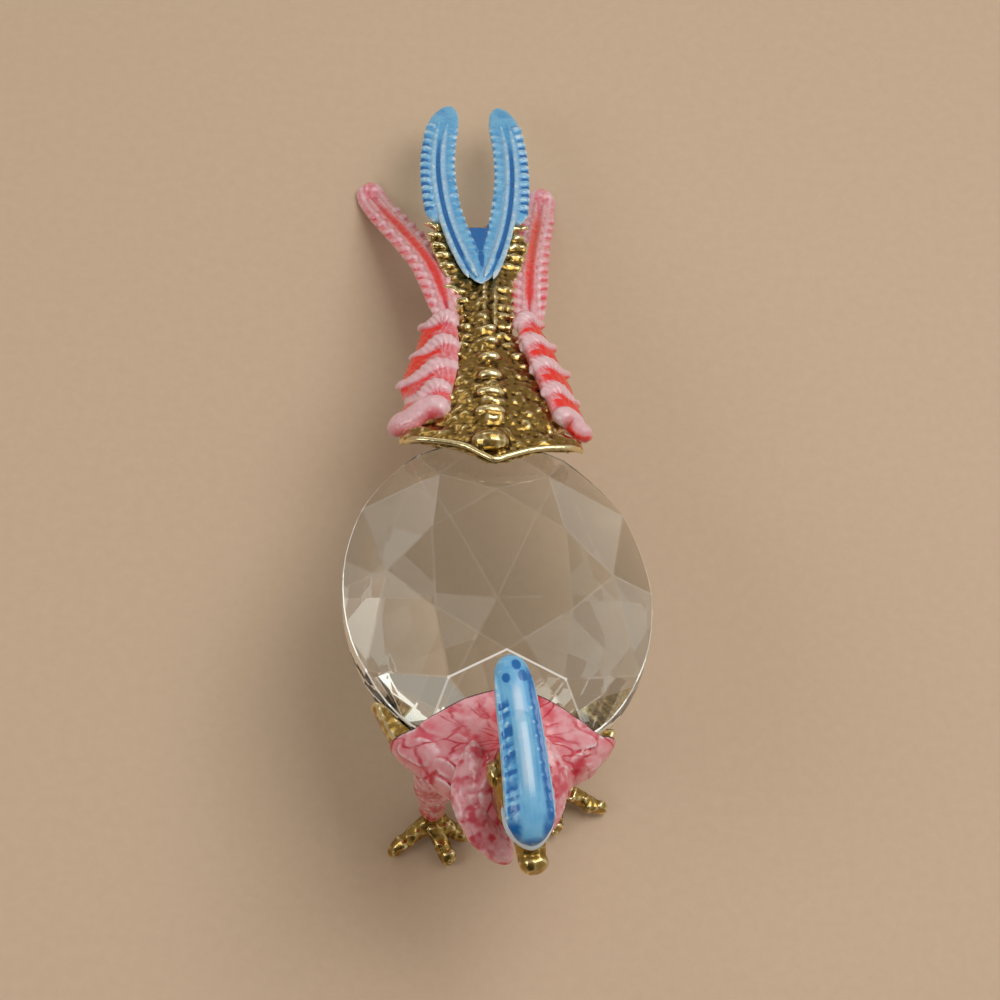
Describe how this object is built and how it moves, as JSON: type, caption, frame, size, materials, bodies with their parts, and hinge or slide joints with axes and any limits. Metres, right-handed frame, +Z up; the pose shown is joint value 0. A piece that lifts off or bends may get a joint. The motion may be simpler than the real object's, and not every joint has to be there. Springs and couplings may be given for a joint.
{
  "type": "pheasant figurine",
  "caption": "Standing pheasant figurine: a faceted oval glass body held between a gilt breast and a gilt tail, with enamelled ruff, crest, wings and long tail feathers.",
  "frame": {"origin": "on the floor, under the middle of the figurine's box", "axes": "+Z up, the bird looks along -Y, its tail is towards +Y and its own left side is +X"},
  "size_m": [0.03, 0.101, 0.0354],
  "materials": {
    "faceted_glass": "polished facets",
    "clear_glue": "cured clear glue",
    "gilt_metal": "polished gilt casting",
    "pink_enamel": "gloss enamel over cast metal",
    "blue_enamel": "gloss enamel over cast metal"
  },
  "bodies": {
    "root": {"crystal_body": "faceted_glass", "front_glue_bed": "clear_glue", "rear_glue_bed": "clear_glue", "tail_casting": "gilt_metal", "forked_tail": "blue_enamel", "breast_cup": "gilt_metal", "breast_enamel": "pink_enamel", "head_casting": "gilt_metal", "crest": "blue_enamel", "right_wing": "pink_enamel", "right_side_feather": "pink_enamel", "right_ruff": "pink_enamel", "right_leg": "gilt_metal", "right_thigh_enamel": "pink_enamel", "left_wing": "pink_enamel", "left_side_feather": "pink_enamel", "left_ruff": "pink_enamel", "left_leg": "gilt_metal", "left_thigh_enamel": "pink_enamel"}
  },
  "joints": []
}
